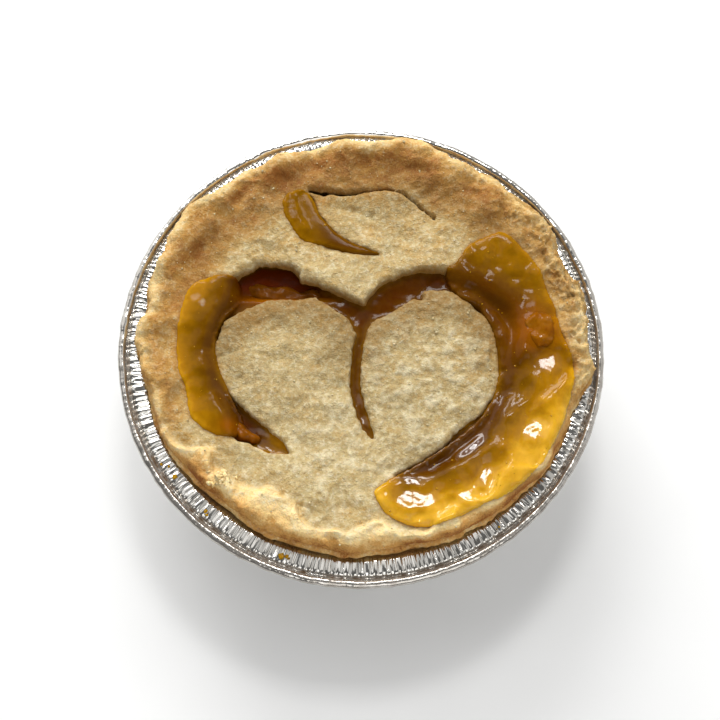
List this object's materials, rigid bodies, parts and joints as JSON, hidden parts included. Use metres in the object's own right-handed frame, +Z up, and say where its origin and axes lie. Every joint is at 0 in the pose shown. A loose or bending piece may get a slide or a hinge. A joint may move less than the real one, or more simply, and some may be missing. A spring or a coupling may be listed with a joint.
{
  "type": "mini peach pie",
  "caption": "Round mini fruit pie in a pleated foil tin, its lid cut with a peach and a leaf, amber peach gel spilling over the browned crust.",
  "frame": {"origin": "centre of the tin's base, on the surface that it stands on", "axes": "+Z up; +Y from the pie's centre towards the leaf above the cut peach; +X to the right of someone who looks down with the leaf at the far side"},
  "size_m": [0.127, 0.127, 0.0366],
  "materials": {
    "foil": "bright pleated foil",
    "pastry": "baked shortcrust, matt and grainy",
    "gel": "glossy amber fruit gel",
    "peach": "wet cooked peach"
  },
  "bodies": {
    "root": {"foil_tin": "foil", "lower_crust": "pastry", "lid": "pastry", "filling": "gel", "peach_slice_near_left": "peach", "peach_slice_right": "peach", "peach_slice_near": "peach", "peach_slice_far_left": "peach"}
  },
  "joints": []
}
